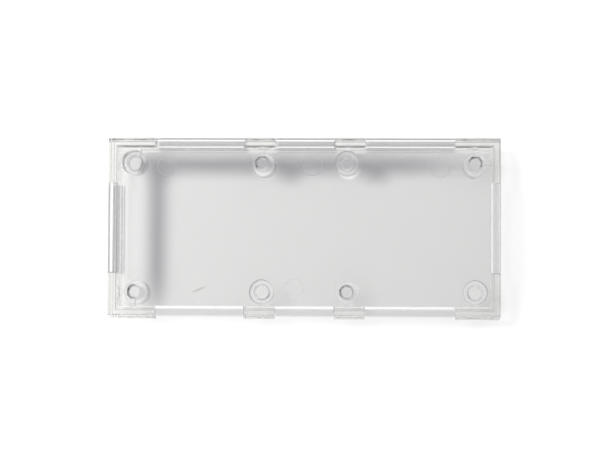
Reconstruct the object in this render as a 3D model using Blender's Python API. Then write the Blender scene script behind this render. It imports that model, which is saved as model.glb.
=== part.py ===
"""Clear snap-together project case: two identical injection-moulded halves.

Each half is a shallow tray with a flat plate, four tapering walls, four hollow
sockets and four ribbed pins. Raised tabs on the walls meet the other half's tabs
and leave slots between them. On one long wall each tab carries a tongue that
laps over a shallow recess in the other half's tab. Turning one moulding over
about the long axis brings its pins into the other one's sockets and its tongues
over the other one's recesses. Metres, +X along the length, +Z up, origin at the
centre of the face that the closed case stands on.
"""

import math

import bmesh
import bpy
from mathutils import Matrix, Vector

# Outside of the closed case
LENGTH = 0.115
WIDTH = 0.052
HALF_HEIGHT = 0.010

# Mouldings
PLATE = 0.0018
WALL_AT_FLOOR = 0.0027
WALL_AT_TAB = 0.0016
RIM_DROP = 0.003
EDGE_BEVEL = 0.0002
BEVEL_ANGLE = math.radians(40)
SHARP_ANGLE = math.radians(30)
MEETING_GAP = 0.0003

# Tabs, measured along the wall that they stand on
CORNER_TAB_ALONG_LENGTH = 0.0132
CORNER_TAB_ALONG_WIDTH = 0.0127
MIDDLE_TAB = 0.0091
MIDDLE_TAB_CENTRE = 0.0133

# Tongues on the tabs of one long wall, and the recesses in the opposite wall's tabs
RECESS_DEPTH = 0.00055
TONGUE_STAND_OUT = 0.0009
TONGUE_FOOT = 0.0034
TONGUE_SLOPE = 0.0012
TONGUE_CHAMFER = 0.0003
TONGUE_ROOT = 0.0003
TONGUE_END_INSET = 0.00015

# Posts
OUTER_POST_X = 0.0502
INNER_POST_X = 0.0125
POST_Y = 0.0190
SOCKET_OUTER_DIAMETER = 0.0072
SOCKET_BORE = 0.0044
PIN_DIAMETER = 0.0041
PIN_REACH = 0.0030
PIN_TIP = 0.0012
RIB_THICKNESS = 0.0012
RIB_HEIGHT = 0.0060
POST_SEGMENTS = 48
TIP_STEPS = 5

# Round marks that the ejector rods leave in the floor of the moulding
EJECTOR_DIAMETER = 0.0056
EJECTOR_DEPTH = 0.00015
EJECTOR_PLACES = ((-0.0403, -0.0179), (0.0026, -0.0179), (0.0398, -0.0174), (-0.0027, 0.0181))

# Derived sizes
TAB_TOP = HALF_HEIGHT - MEETING_GAP / 2
RIM_TOP = HALF_HEIGHT - RIM_DROP
TONGUE_TOP = HALF_HEIGHT + RIM_DROP - MEETING_GAP
CLOSED_HEIGHT = 2 * HALF_HEIGHT
CORNER_TAB_START = LENGTH / 2 - CORNER_TAB_ALONG_LENGTH
MIDDLE_TAB_START = MIDDLE_TAB_CENTRE - MIDDLE_TAB / 2
MIDDLE_TAB_END = MIDDLE_TAB_CENTRE + MIDDLE_TAB / 2
OVERLAP = 0.0005

CLEAR_COLOUR = (0.86, 0.88, 0.87, 1.0)
CLEAR_ALPHA = 0.35
CLEAR_ROUGHNESS = 0.06


def clear_scene():
    for old in list(bpy.data.objects):
        bpy.data.objects.remove(old, do_unlink=True)


def clear_plastic():
    material = bpy.data.materials.new("clear_plastic")
    material.use_nodes = True
    shader = material.node_tree.nodes["Principled BSDF"]
    shader.inputs["Base Color"].default_value = CLEAR_COLOUR
    shader.inputs["Roughness"].default_value = CLEAR_ROUGHNESS
    shader.inputs["Metallic"].default_value = 0.0
    shader.inputs["Alpha"].default_value = CLEAR_ALPHA
    material.diffuse_color = (*CLEAR_COLOUR[:3], CLEAR_ALPHA)
    return material


def new_object(name, mesh_builder):
    mesh = bpy.data.meshes.new(name)
    shape = bmesh.new()
    mesh_builder(shape)
    bmesh.ops.recalc_face_normals(shape, faces=shape.faces)
    shape.to_mesh(mesh)
    shape.free()
    made = bpy.data.objects.new(name, mesh)
    bpy.context.collection.objects.link(made)
    return made


def add_box(shape, low, high):
    size = Vector(high) - Vector(low)
    centre = (Vector(high) + Vector(low)) / 2
    placed = Matrix.Translation(centre) @ Matrix.Diagonal((*size, 1.0))
    bmesh.ops.create_cube(shape, size=1.0, matrix=placed)


def add_turned(shape, profile, centre):
    """Turns a profile of (radius, height) points, the first and last on the axis."""
    rings = []
    for radius, height in profile:
        if radius == 0:
            rings.append([shape.verts.new((*centre, height))])
            continue
        ring = []
        for step in range(POST_SEGMENTS):
            angle = 2 * math.pi * step / POST_SEGMENTS
            x = centre[0] + radius * math.cos(angle)
            y = centre[1] + radius * math.sin(angle)
            ring.append(shape.verts.new((x, y, height)))
        rings.append(ring)
    for lower, upper in zip(rings, rings[1:]):
        for step in range(POST_SEGMENTS):
            after = (step + 1) % POST_SEGMENTS
            if len(lower) == 1:
                shape.faces.new((lower[0], upper[after], upper[step]))
            elif len(upper) == 1:
                shape.faces.new((lower[step], lower[after], upper[0]))
            else:
                shape.faces.new((lower[step], lower[after], upper[after], upper[step]))


def build_block(shape):
    add_box(shape, (-LENGTH / 2, -WIDTH / 2, 0), (LENGTH / 2, WIDTH / 2, TAB_TOP))


def build_cavity(shape):
    """The room inside, wider at the tabs than at the floor, so the walls taper."""
    top = TAB_TOP + OVERLAP
    slope = (WALL_AT_FLOOR - WALL_AT_TAB) / (TAB_TOP - PLATE)
    corners = []
    for height in (PLATE, top):
        wall = WALL_AT_FLOOR - slope * (height - PLATE)
        x = LENGTH / 2 - wall
        y = WIDTH / 2 - wall
        outline = ((-x, -y), (x, -y), (x, y), (-x, y))
        corners.append([shape.verts.new((*point, height)) for point in outline])
    lower, upper = corners
    shape.faces.new(lower)
    shape.faces.new(upper)
    for step in range(4):
        after = (step + 1) % 4
        shape.faces.new((lower[step], lower[after], upper[after], upper[step]))


def slot_spans_along_length():
    """The stretches of a long wall between its tabs."""
    return (
        (-CORNER_TAB_START, -MIDDLE_TAB_END),
        (-MIDDLE_TAB_START, MIDDLE_TAB_START),
        (MIDDLE_TAB_END, CORNER_TAB_START),
    )


def tab_spans_along_length():
    right = ((MIDDLE_TAB_START, MIDDLE_TAB_END), (CORNER_TAB_START, LENGTH / 2))
    left = tuple((-end, -start) for start, end in right)
    return left + right


def build_slots(shape):
    past = WALL_AT_FLOOR + 2 * OVERLAP
    top = TAB_TOP + OVERLAP
    for side in (-1, 1):
        wall_y = side * (WIDTH - WALL_AT_FLOOR) / 2
        for start, end in slot_spans_along_length():
            add_box(shape, (start, wall_y - past / 2, RIM_TOP), (end, wall_y + past / 2, top))
        wall_x = side * (LENGTH - WALL_AT_FLOOR) / 2
        reach = WIDTH / 2 - CORNER_TAB_ALONG_WIDTH
        add_box(shape, (wall_x - past / 2, -reach, RIM_TOP), (wall_x + past / 2, reach, top))


def build_recesses(shape):
    """Cuts along the outside of the tabs on the -Y wall."""
    inner = -WIDTH / 2 + RECESS_DEPTH
    outer = -WIDTH / 2 - OVERLAP
    for start, end in tab_spans_along_length():
        low = (start - OVERLAP, outer, RIM_TOP)
        high = (end + OVERLAP, inner, TAB_TOP + OVERLAP)
        add_box(shape, low, high)


def build_tongues(shape):
    """Tongues on the outside of the tabs on the +Y wall, with a sloping foot."""
    face = WIDTH / 2
    inner = face - RECESS_DEPTH + MEETING_GAP
    outer = face + TONGUE_STAND_OUT
    buried = inner - TONGUE_ROOT
    profile = (
        (buried, TONGUE_FOOT),
        (face, TONGUE_FOOT),
        (outer, TONGUE_FOOT + TONGUE_SLOPE),
        (outer, TONGUE_TOP - TONGUE_CHAMFER),
        (outer - TONGUE_CHAMFER, TONGUE_TOP),
        (inner, TONGUE_TOP),
        (inner, TAB_TOP - TONGUE_ROOT),
        (buried, TAB_TOP - 2 * TONGUE_ROOT),
    )
    for start, end in tab_spans_along_length():
        sections = []
        for x in (start + TONGUE_END_INSET, end - TONGUE_END_INSET):
            sections.append([shape.verts.new((x, y, z)) for y, z in profile])
        first, last = sections
        shape.faces.new(first)
        shape.faces.new(last)
        for step in range(len(profile)):
            after = (step + 1) % len(profile)
            shape.faces.new((first[step], first[after], last[after], last[step]))


def socket_places():
    return (
        (-OUTER_POST_X, -POST_Y),
        (INNER_POST_X, -POST_Y),
        (-INNER_POST_X, POST_Y),
        (OUTER_POST_X, POST_Y),
    )


def pin_places():
    return tuple((x, -y) for x, y in socket_places())


def build_sockets(shape):
    radius = SOCKET_OUTER_DIAMETER / 2
    base = PLATE - OVERLAP
    for centre in socket_places():
        profile = (
            (0, base),
            (radius, base),
            (radius, TAB_TOP - EDGE_BEVEL),
            (radius - EDGE_BEVEL, TAB_TOP),
            (0, TAB_TOP),
        )
        add_turned(shape, profile, centre)


def build_bores(shape):
    radius = SOCKET_BORE / 2
    for centre in socket_places():
        profile = (
            (0, PLATE),
            (radius, PLATE),
            (radius, TAB_TOP - EDGE_BEVEL),
            (radius + EDGE_BEVEL + OVERLAP, TAB_TOP + OVERLAP),
            (0, TAB_TOP + OVERLAP),
        )
        add_turned(shape, profile, centre)


def build_pins(shape):
    radius = PIN_DIAMETER / 2
    top = HALF_HEIGHT + PIN_REACH
    base = PLATE - OVERLAP
    for centre in pin_places():
        profile = [(0, base), (radius, base)]
        for step in range(TIP_STEPS):
            angle = math.pi / 2 * step / TIP_STEPS
            tip_radius = radius - PIN_TIP + PIN_TIP * math.cos(angle)
            profile.append((tip_radius, top - PIN_TIP + PIN_TIP * math.sin(angle)))
        profile.append((radius - PIN_TIP, top))
        profile.append((0, top))
        add_turned(shape, profile, centre)


def build_ribs(shape):
    """A rib from each pin to the nearer long wall."""
    half = RIB_THICKNESS / 2
    base = PLATE - OVERLAP
    wall_y = WIDTH / 2 - WALL_AT_TAB + OVERLAP
    for x, y in pin_places():
        low_y, high_y = sorted((y, math.copysign(wall_y, y)))
        add_box(shape, (x - half, low_y, base), (x + half, high_y, RIB_HEIGHT))


def build_side_ribs(shape):
    """A second rib from each corner pin, to the short wall."""
    half = RIB_THICKNESS / 2
    base = PLATE - OVERLAP
    wall_x = LENGTH / 2 - WALL_AT_TAB + OVERLAP
    for x, y in pin_places():
        if abs(x) == OUTER_POST_X:
            low_x, high_x = sorted((x, math.copysign(wall_x, x)))
            add_box(shape, (low_x, y - half, base), (high_x, y + half, RIB_HEIGHT))


def build_ejector_marks(shape):
    radius = EJECTOR_DIAMETER / 2
    for centre in EJECTOR_PLACES:
        profile = (
            (0, PLATE - EJECTOR_DEPTH),
            (radius, PLATE - EJECTOR_DEPTH),
            (radius, PLATE + OVERLAP),
            (0, PLATE + OVERLAP),
        )
        add_turned(shape, profile, centre)


def add_boolean(target, operation, builder):
    tool = new_object(f"{target.name}_{builder.__name__}", builder)
    tool.hide_render = True
    tool.display_type = "WIRE"
    step = target.modifiers.new(builder.__name__, "BOOLEAN")
    step.operation = operation
    step.solver = "EXACT"
    step.object = tool


def add_bevel(target):
    bevel = target.modifiers.new("edges", "BEVEL")
    bevel.width = EDGE_BEVEL
    bevel.segments = 1
    bevel.limit_method = "ANGLE"
    bevel.angle_limit = BEVEL_ANGLE


def make_moulding(name):
    """One half, standing on its plate with the open side up."""
    moulding = new_object(name, build_block)
    add_boolean(moulding, "DIFFERENCE", build_cavity)
    add_boolean(moulding, "DIFFERENCE", build_slots)
    add_boolean(moulding, "DIFFERENCE", build_recesses)
    add_boolean(moulding, "UNION", build_tongues)
    add_bevel(moulding)
    add_boolean(moulding, "UNION", build_sockets)
    add_boolean(moulding, "UNION", build_pins)
    add_boolean(moulding, "UNION", build_ribs)
    add_boolean(moulding, "UNION", build_side_ribs)
    add_boolean(moulding, "DIFFERENCE", build_bores)
    add_boolean(moulding, "DIFFERENCE", build_ejector_marks)
    return moulding


def bake_mesh(source, material):
    """The moulding's finished mesh, so that both halves can share it."""
    bpy.context.view_layer.update()
    graph = bpy.context.evaluated_depsgraph_get()
    finished = bpy.data.meshes.new_from_object(source.evaluated_get(graph), depsgraph=graph)
    finished.name = "case_half"
    finished.shade_smooth()
    finished.set_sharp_from_angle(angle=SHARP_ANGLE)
    finished.materials.clear()
    finished.materials.append(material)
    return finished


def place_half(name, mesh, turned_over):
    half = bpy.data.objects.new(name, mesh)
    bpy.context.collection.objects.link(half)
    if turned_over:
        half.rotation_euler.x = math.pi
        half.location.z = CLOSED_HEIGHT


def main():
    clear_scene()
    master = make_moulding("moulding")
    mesh = bake_mesh(master, clear_plastic())
    clear_scene()
    place_half("lower_half", mesh, turned_over=False)
    place_half("upper_half", mesh, turned_over=True)
    bpy.context.view_layer.update()


main()
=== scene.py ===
"""Looks of the clear project case: its plastic, the floor, the light and the camera."""

import math

import bpy
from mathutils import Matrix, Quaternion, Vector


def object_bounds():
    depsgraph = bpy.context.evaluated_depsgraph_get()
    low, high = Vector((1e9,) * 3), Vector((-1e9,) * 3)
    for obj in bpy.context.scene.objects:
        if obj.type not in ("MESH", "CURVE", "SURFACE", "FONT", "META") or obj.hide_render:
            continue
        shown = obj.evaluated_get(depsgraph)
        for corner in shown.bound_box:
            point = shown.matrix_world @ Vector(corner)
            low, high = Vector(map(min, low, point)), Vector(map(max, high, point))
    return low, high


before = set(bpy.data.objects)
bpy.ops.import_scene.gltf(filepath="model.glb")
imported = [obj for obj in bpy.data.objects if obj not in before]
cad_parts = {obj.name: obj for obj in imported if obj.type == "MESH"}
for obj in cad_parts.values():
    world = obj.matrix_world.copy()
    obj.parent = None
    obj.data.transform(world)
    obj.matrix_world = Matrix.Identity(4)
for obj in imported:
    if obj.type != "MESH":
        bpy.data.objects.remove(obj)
cad_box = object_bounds()

# The case, in metres
LOW, HIGH = cad_box
HEIGHT = HIGH.z - LOW.z
LENGTH = HIGH.x - LOW.x
PLATE_WIDTH = 0.052
WALL_AT_FLOOR = 0.0027
CORNER_TAB_ALONG_LENGTH = 0.0132
CORNER_TAB_ALONG_WIDTH = 0.0127
MIDDLE_TAB = 0.0091
MIDDLE_TAB_CENTRE = 0.0133
POST_RADIUS = 0.0036
OUTER_POST_X = 0.0502
INNER_POST_X = 0.0125
POST_Y = 0.0190
POST_ROW = (-OUTER_POST_X, -INNER_POST_X, INNER_POST_X, OUTER_POST_X)

# Round marks that the ejector rods leave inside each plate, in the lower half's own place
EJECTOR_RADIUS = 0.0028
EJECTOR_PLACES = ((-0.0403, -0.0179), (0.0026, -0.0179), (0.0398, -0.0174), (-0.0027, 0.0181))

# Plastic
PLASTIC_IOR = 1.42
PLASTIC_TINT = (0.985, 0.986, 0.984, 1.0)
CLEAR_SHARE = 0.975

# Where the painted light lies: object heights of the case's top and bottom faces, and soft edges
TOP_FROM = HEIGHT * 0.98
BOTTOM_TO = HEIGHT * 0.01
BAND_BLUR = 0.0012
STEP_BLUR = 0.0002

# Strips and spots of the upper plate that darken the lamp's rays, putting painted shadow bands and spots on
# the floor
WEST_BAND = (0.0014, 0.0064)
WEST_FADE = (-0.0235, -0.008)
NORTH_BAND = (0.0003, 0.0053)
NORTH_FADE = (0.052, 0.014)
SPOT_SHARE = 0.95
SPOT_SHIFT = (-0.0016, 0.0028)

# Factors on a lamp's ray at each surface of the plastic; above 1 it gains light
FACE_FACTOR = (0.925, 0.925, 0.925, 1.0)
SIDE_FACTOR = (0.985, 0.985, 0.985, 1.0)
# Painted shadow: the lamp's factor on the strips and spots that darken the floor
PAINTED_SHADOW_FACTOR = (0.28, 0.28, 0.31, 1.0)
# Painted light under the tabs, a little lighter than under the plain plate
PAINTED_LIGHT_UNDER_TABS = (0.97, 0.97, 0.945, 1.0)
# Painted shade under the slots, for the walls near the lamp and those away from it
NEAR_SLOT_PAINTED_SHADE = (0.45, 0.45, 0.46, 1.0)
FAR_SLOT_PAINTED_SHADE = (0.82, 0.82, 0.83, 1.0)

# Factors on a lamp's ray under each post, from west to east: painted light where above 1, painted shade
# below
NORTH_POST_PAINTED_LIGHT_AND_SHADE = (0.92, 1.50, 1.45, 1.05)
SOUTH_POST_PAINTED_LIGHT_AND_SHADE = (1.02, 1.03, 0.98, 1.04)

# Surface of the plastic
HAZE_SCALE = 60.0
HAZE_DETAIL = 3.0
HAZE_RANGE = (0.3, 0.7)
HAZE_ROUGHNESS = (0.030, 0.065)
WAVE_SCALE = 90.0
WAVE_DETAIL = 1.0
WAVE_SHARE = 0.3
RELIEF = 0.00008
RELIEF_STRENGTH = 0.5
RING_WIDTH = 0.00035
RING_SHARES = {"upper_half": 1.0, "lower_half": 0.15}
RING_ROUGHNESS = 0.35
SCUFF_CENTRE = (-0.0305, -0.0184)
SCUFF_ANGLE = math.radians(24)
SCUFF_LENGTH = 0.0034
SCUFF_WIDTH = 0.0006
SCUFF_ROUGHNESS = 0.2
SCUFF_COLOUR = (0.62, 0.62, 0.61, 1.0)

# Camera
CAMERA_DISTANCE = 0.70
TILT_SOUTH = math.radians(3.0)
TILT_EAST = math.radians(2.5)
ROLL = math.radians(0.25)
CASE_SHARE_OF_PICTURE = 0.6469
AIM = Vector((0.0001, -0.00035, HIGH.z))
SENSOR = 36.0
LIGHT_BOUNCES = 24
CLAMP = 4.0

# Light
KEY_TOWARDS = Vector((-0.0098, 0.0040, 0.0200))
KEY_DISTANCE = 0.8
KEY_SIZE = 0.18
KEY_ENERGY = 6.3
KEY_COLOUR = (1.0, 0.993, 0.985)
SKY_STRENGTH = 0.5
SKY_COLOUR = (0.97, 0.98, 1.0)
FLOOR_COLOUR = (0.92, 0.92, 0.92, 1.0)
FLOOR_SIZE = 6.0
FLOOR_GAP = 0.0002


class Tree:
    """A material's nodes, made one call at a time."""

    def __init__(self, material):
        material.use_nodes = True
        self.nodes = material.node_tree.nodes
        self.links = material.node_tree.links
        self.nodes.clear()

    def add(self, kind, inputs=None, **settings):
        made = self.nodes.new(kind)
        for name, value in settings.items():
            setattr(made, name, value)
        for name, value in (inputs or {}).items():
            socket = made.inputs[name]
            if isinstance(value, bpy.types.NodeSocket):
                self.links.new(value, socket)
            else:
                socket.default_value = value
        return made

    def math(self, operation, *values):
        made = self.nodes.new("ShaderNodeMath")
        made.operation = operation
        for index, value in enumerate(values):
            if isinstance(value, bpy.types.NodeSocket):
                self.links.new(value, made.inputs[index])
            else:
                made.inputs[index].default_value = value
        return made.outputs[0]

    def ramp(self, value, low, high, to_low=0.0, to_high=1.0):
        made = self.add(
            "ShaderNodeMapRange",
            {"Value": value, "From Min": low, "From Max": high, "To Min": to_low, "To Max": to_high},
            interpolation_type="SMOOTHSTEP",
        )
        return made.outputs["Result"]


def distance_to(tree, place, x, y):
    across = tree.math("SUBTRACT", place.outputs["X"], x)
    along = tree.math("SUBTRACT", place.outputs["Y"], y)
    squares = tree.math("ADD", tree.math("POWER", across, 2.0), tree.math("POWER", along, 2.0))
    return tree.math("SQRT", squares)


def above(tree, value, edge):
    """1 where value is greater than edge, with a soft step."""
    return tree.ramp(value, edge - STEP_BLUR, edge + STEP_BLUR)


def between(tree, distance, start, end):
    """1 where distance lies between start and end, with soft edges."""
    begun = tree.ramp(distance, start - BAND_BLUR, start + BAND_BLUR)
    return tree.math("MULTIPLY", begun, tree.ramp(distance, end + BAND_BLUR, end - BAND_BLUR))


def blend_colour(tree, share, first, second):
    return tree.add("ShaderNodeMix", {0: share, 6: first, 7: second}, data_type="RGBA").outputs[2]


def painted_shadow_mask(tree, place):
    """1 on the parts of the upper plate that put painted shadow, dark bands and spots, on the floor below.
    """
    from_west = tree.math("ADD", place.outputs["X"], LENGTH / 2)
    from_north = tree.math("SUBTRACT", PLATE_WIDTH / 2, place.outputs["Y"])
    west = between(tree, from_west, *WEST_BAND)
    west = tree.math("MULTIPLY", west, tree.ramp(place.outputs["Y"], *WEST_FADE))
    north = between(tree, from_north, *NORTH_BAND)
    north = tree.math("MULTIPLY", north, tree.ramp(place.outputs["X"], *NORTH_FADE))
    mask = tree.math("MAXIMUM", west, north)
    shift_x, shift_y = SPOT_SHIFT
    for post_x in POST_ROW[:-1]:
        distance = distance_to(tree, place, post_x + shift_x, POST_Y + shift_y)
        spot = tree.ramp(distance, POST_RADIUS + BAND_BLUR, POST_RADIUS - BAND_BLUR)
        mask = tree.math("MAXIMUM", mask, tree.math("MULTIPLY", spot, SPOT_SHARE))
    on_top = tree.math("GREATER_THAN", place.outputs["Z"], TOP_FROM)
    return tree.math("MULTIPLY", mask, on_top)


def walls_and_tabs(tree, place):
    """Masks seen from above, at any height: all four walls, and the tabs among them."""
    x = tree.math("ABSOLUTE", place.outputs["X"])
    y = tree.math("ABSOLUTE", place.outputs["Y"])
    short_wall = above(tree, x, LENGTH / 2 - WALL_AT_FLOOR)
    long_wall = above(tree, y, PLATE_WIDTH / 2 - WALL_AT_FLOOR)
    corner = above(tree, x, LENGTH / 2 - CORNER_TAB_ALONG_LENGTH)
    from_middle = tree.math("ABSOLUTE", tree.math("SUBTRACT", x, MIDDLE_TAB_CENTRE))
    middle = tree.math("SUBTRACT", 1.0, above(tree, from_middle, MIDDLE_TAB / 2))
    long_tabs = tree.math("MULTIPLY", long_wall, tree.math("MAXIMUM", corner, middle))
    side_corner = above(tree, y, PLATE_WIDTH / 2 - CORNER_TAB_ALONG_WIDTH)
    short_tabs = tree.math("MULTIPLY", short_wall, side_corner)
    return tree.math("MAXIMUM", short_wall, long_wall), tree.math("MAXIMUM", long_tabs, short_tabs)


def painted_slot_shade(tree, place):
    """Painted shade under the slots: lighter under the walls away from the lamp, east and south, darker
    under those near it.
    """
    towards_south_east = tree.math("SUBTRACT", place.outputs["X"], place.outputs["Y"])
    east = above(tree, towards_south_east, (LENGTH - PLATE_WIDTH) / 2)
    south = tree.math("LESS_THAN", place.outputs["Y"], WALL_AT_FLOOR - PLATE_WIDTH / 2)
    far = tree.math("MAXIMUM", east, south)
    return blend_colour(tree, far, NEAR_SLOT_PAINTED_SHADE, FAR_SLOT_PAINTED_SHADE)


def painted_light_and_shade_under_posts(tree, place, beneath, kept):
    """Gives the underside of the lower plate a factor of its own under each post: painted light where it is
    above 1, painted shade below.
    """
    for post_y, factors in ((POST_Y, NORTH_POST_PAINTED_LIGHT_AND_SHADE), (-POST_Y, SOUTH_POST_PAINTED_LIGHT_AND_SHADE)):
        for post_x, factor in zip(POST_ROW, factors):
            outside = above(tree, distance_to(tree, place, post_x, post_y), POST_RADIUS)
            inside = tree.math("MULTIPLY", tree.math("SUBTRACT", 1.0, outside), beneath)
            kept = blend_colour(tree, inside, kept, (factor, factor, factor, 1.0))
    return kept


def lamp_colour_with_painted_light(tree, place):
    """What a lamp's ray keeps at a surface, with painted shadow bands and spots and painted light and shade
    under the tabs, slots and posts. It stands in for the light that the case gathers and spreads.
    """
    normal = tree.add("ShaderNodeNewGeometry").outputs["Normal"]
    level = tree.math("ABSOLUTE", tree.add("ShaderNodeSeparateXYZ", {"Vector": normal}).outputs["Z"])
    kept = blend_colour(tree, level, SIDE_FACTOR, FACE_FACTOR)
    # Painted shadow bands and spots from the upper plate
    kept = blend_colour(tree, painted_shadow_mask(tree, place), kept, PAINTED_SHADOW_FACTOR)
    beneath = tree.math("LESS_THAN", place.outputs["Z"], BOTTOM_TO)
    walls, tabs = walls_and_tabs(tree, place)
    slots = tree.math("SUBTRACT", walls, tabs)
    # Painted light under the tabs, on the underside of the lower plate
    kept = blend_colour(tree, tree.math("MULTIPLY", tabs, beneath), kept, PAINTED_LIGHT_UNDER_TABS)
    # Painted shade under the slots, on the underside of the lower plate
    kept = blend_colour(tree, tree.math("MULTIPLY", slots, beneath), kept, painted_slot_shade(tree, place))
    return painted_light_and_shade_under_posts(tree, place, beneath, kept)


def ejector_rings(tree, place, turned_over):
    """1 on the rim of each ejector mark, inside the plate."""
    rings = None
    for x, y in EJECTOR_PLACES:
        distance = distance_to(tree, place, x, -y if turned_over else y)
        from_rim = tree.math("ABSOLUTE", tree.math("SUBTRACT", distance, EJECTOR_RADIUS))
        ring = tree.ramp(from_rim, RING_WIDTH, 0.0)
        rings = ring if rings is None else tree.math("MAXIMUM", rings, ring)
    return rings


def scuff(tree, place):
    """1 along a short scratch in the outside of the upper plate."""
    from_x = tree.math("SUBTRACT", place.outputs["X"], SCUFF_CENTRE[0])
    from_y = tree.math("SUBTRACT", place.outputs["Y"], SCUFF_CENTRE[1])
    along = (math.cos(SCUFF_ANGLE), math.sin(SCUFF_ANGLE))
    across = (-math.sin(SCUFF_ANGLE), math.cos(SCUFF_ANGLE))
    mask = tree.math("GREATER_THAN", place.outputs["Z"], TOP_FROM)
    for (way_x, way_y), reach in ((across, SCUFF_WIDTH), (along, SCUFF_LENGTH)):
        part_x = tree.math("MULTIPLY", from_x, way_x)
        part_y = tree.math("MULTIPLY", from_y, way_y)
        distance = tree.math("ABSOLUTE", tree.math("ADD", part_x, part_y))
        mask = tree.math("MULTIPLY", mask, tree.ramp(distance, reach, 0.0))
    return mask


def noise(tree, coordinates, seed, scale, detail):
    made = tree.add(
        "ShaderNodeTexNoise",
        {"Vector": coordinates, "W": seed, "Scale": scale, "Detail": detail},
        noise_dimensions="4D",
    )
    return made.outputs["Fac"]


def clear_plastic(name, seed, turned_over):
    material = bpy.data.materials.new(f"{name}_plastic")
    tree = Tree(material)
    coordinates = tree.add("ShaderNodeTexCoord").outputs["Object"]
    place = tree.add("ShaderNodeSeparateXYZ", {"Vector": coordinates})
    rings = tree.math("MULTIPLY", ejector_rings(tree, place, turned_over), RING_SHARES[name])
    scratch = scuff(tree, place)
    haze = noise(tree, coordinates, seed, HAZE_SCALE, HAZE_DETAIL)
    roughness = tree.ramp(haze, *HAZE_RANGE, *HAZE_ROUGHNESS)
    roughness = tree.math("MAXIMUM", roughness, tree.math("MULTIPLY", rings, RING_ROUGHNESS))
    roughness = tree.math("MAXIMUM", roughness, tree.math("MULTIPLY", scratch, SCUFF_ROUGHNESS))
    waviness = noise(tree, coordinates, seed, WAVE_SCALE, WAVE_DETAIL)
    marks = tree.math("SUBTRACT", rings, scratch)
    height = tree.math("ADD", tree.math("MULTIPLY", waviness, WAVE_SHARE), marks)
    bump = tree.add(
        "ShaderNodeBump", {"Height": height, "Strength": RELIEF_STRENGTH, "Distance": RELIEF}
    )
    glass = tree.add(
        "ShaderNodeBsdfPrincipled",
        {
            "Base Color": blend_colour(tree, scratch, PLASTIC_TINT, SCUFF_COLOUR),
            "Roughness": roughness,
            "IOR": PLASTIC_IOR,
            "Transmission Weight": CLEAR_SHARE,
            "Normal": bump.outputs["Normal"],
        },
    )
    lamp_side = tree.add("ShaderNodeBsdfTransparent", {"Color": lamp_colour_with_painted_light(tree, place)})
    path = tree.add("ShaderNodeLightPath")
    surface = tree.add("ShaderNodeMixShader", {0: path.outputs["Is Shadow Ray"], 1: glass.outputs[0]})
    tree.links.new(lamp_side.outputs[0], surface.inputs[2])
    tree.add("ShaderNodeOutputMaterial", {"Surface": surface.outputs[0]})
    return material


def dress_case():
    for seed, (name, piece) in enumerate(sorted(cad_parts.items())):
        piece.data.materials.clear()
        plastic = clear_plastic(name, float(seed), turned_over=name == "upper_half")
        piece.data.materials.append(plastic)


def add_floor():
    bpy.ops.mesh.primitive_plane_add(size=FLOOR_SIZE, location=(0, 0, LOW.z - FLOOR_GAP))
    floor = bpy.context.object
    floor.name = "floor"
    material = bpy.data.materials.new("pale_floor")
    tree = Tree(material)
    coat = tree.add(
        "ShaderNodeBsdfPrincipled",
        {"Base Color": FLOOR_COLOUR, "Roughness": 1.0, "Specular IOR Level": 0.0},
    )
    tree.add("ShaderNodeOutputMaterial", {"Surface": coat.outputs[0]})
    floor.data.materials.append(material)
    return floor


def light_only(lamp, *objects):
    """Keeps the lamp off the plastic, whose lamp colour already lets its light through to the floor."""
    lit = bpy.data.collections.new(f"{lamp.name}_lights")
    for thing in objects:
        lit.objects.link(thing)
    lamp.light_linking.receiver_collection = lit


def add_light(floor):
    world = bpy.data.worlds.new("studio")
    bpy.context.scene.world = world
    world.use_nodes = True
    sky = world.node_tree.nodes["Background"]
    sky.inputs["Color"].default_value = (*SKY_COLOUR, 1.0)
    sky.inputs["Strength"].default_value = SKY_STRENGTH
    lamp = bpy.data.lights.new("key", "AREA")
    lamp.shape = "DISK"
    lamp.size = KEY_SIZE
    lamp.energy = KEY_ENERGY
    lamp.color = KEY_COLOUR
    key = bpy.data.objects.new("key", lamp)
    bpy.context.collection.objects.link(key)
    key.location = KEY_TOWARDS.normalized() * KEY_DISTANCE
    key.rotation_euler = (-key.location).to_track_quat("-Z", "Y").to_euler()
    light_only(key, floor)


def add_camera():
    """Almost straight above the case, from a little south and east of it."""
    camera = bpy.data.cameras.new("camera")
    eye = bpy.data.objects.new("camera", camera)
    bpy.context.collection.objects.link(eye)
    bpy.context.scene.camera = eye
    offset = Vector((math.tan(TILT_EAST), -math.tan(TILT_SOUTH), 1.0)) * CAMERA_DISTANCE
    eye.location = AIM + offset
    leaning = Vector((0.0, 0.0, 1.0)).rotation_difference(offset.normalized())
    eye.rotation_mode = "QUATERNION"
    eye.rotation_quaternion = leaning @ Quaternion((0.0, 0.0, 1.0), ROLL)
    camera.sensor_width = SENSOR
    camera.lens = SENSOR * offset.length * CASE_SHARE_OF_PICTURE / LENGTH


def set_exposure():
    scene = bpy.context.scene
    scene.view_settings.view_transform = "Standard"
    scene.cycles.max_bounces = LIGHT_BOUNCES
    scene.cycles.transmission_bounces = LIGHT_BOUNCES
    scene.cycles.transparent_max_bounces = LIGHT_BOUNCES
    scene.cycles.sample_clamp_indirect = CLAMP


dress_case()
add_light(add_floor())
add_camera()
set_exposure()
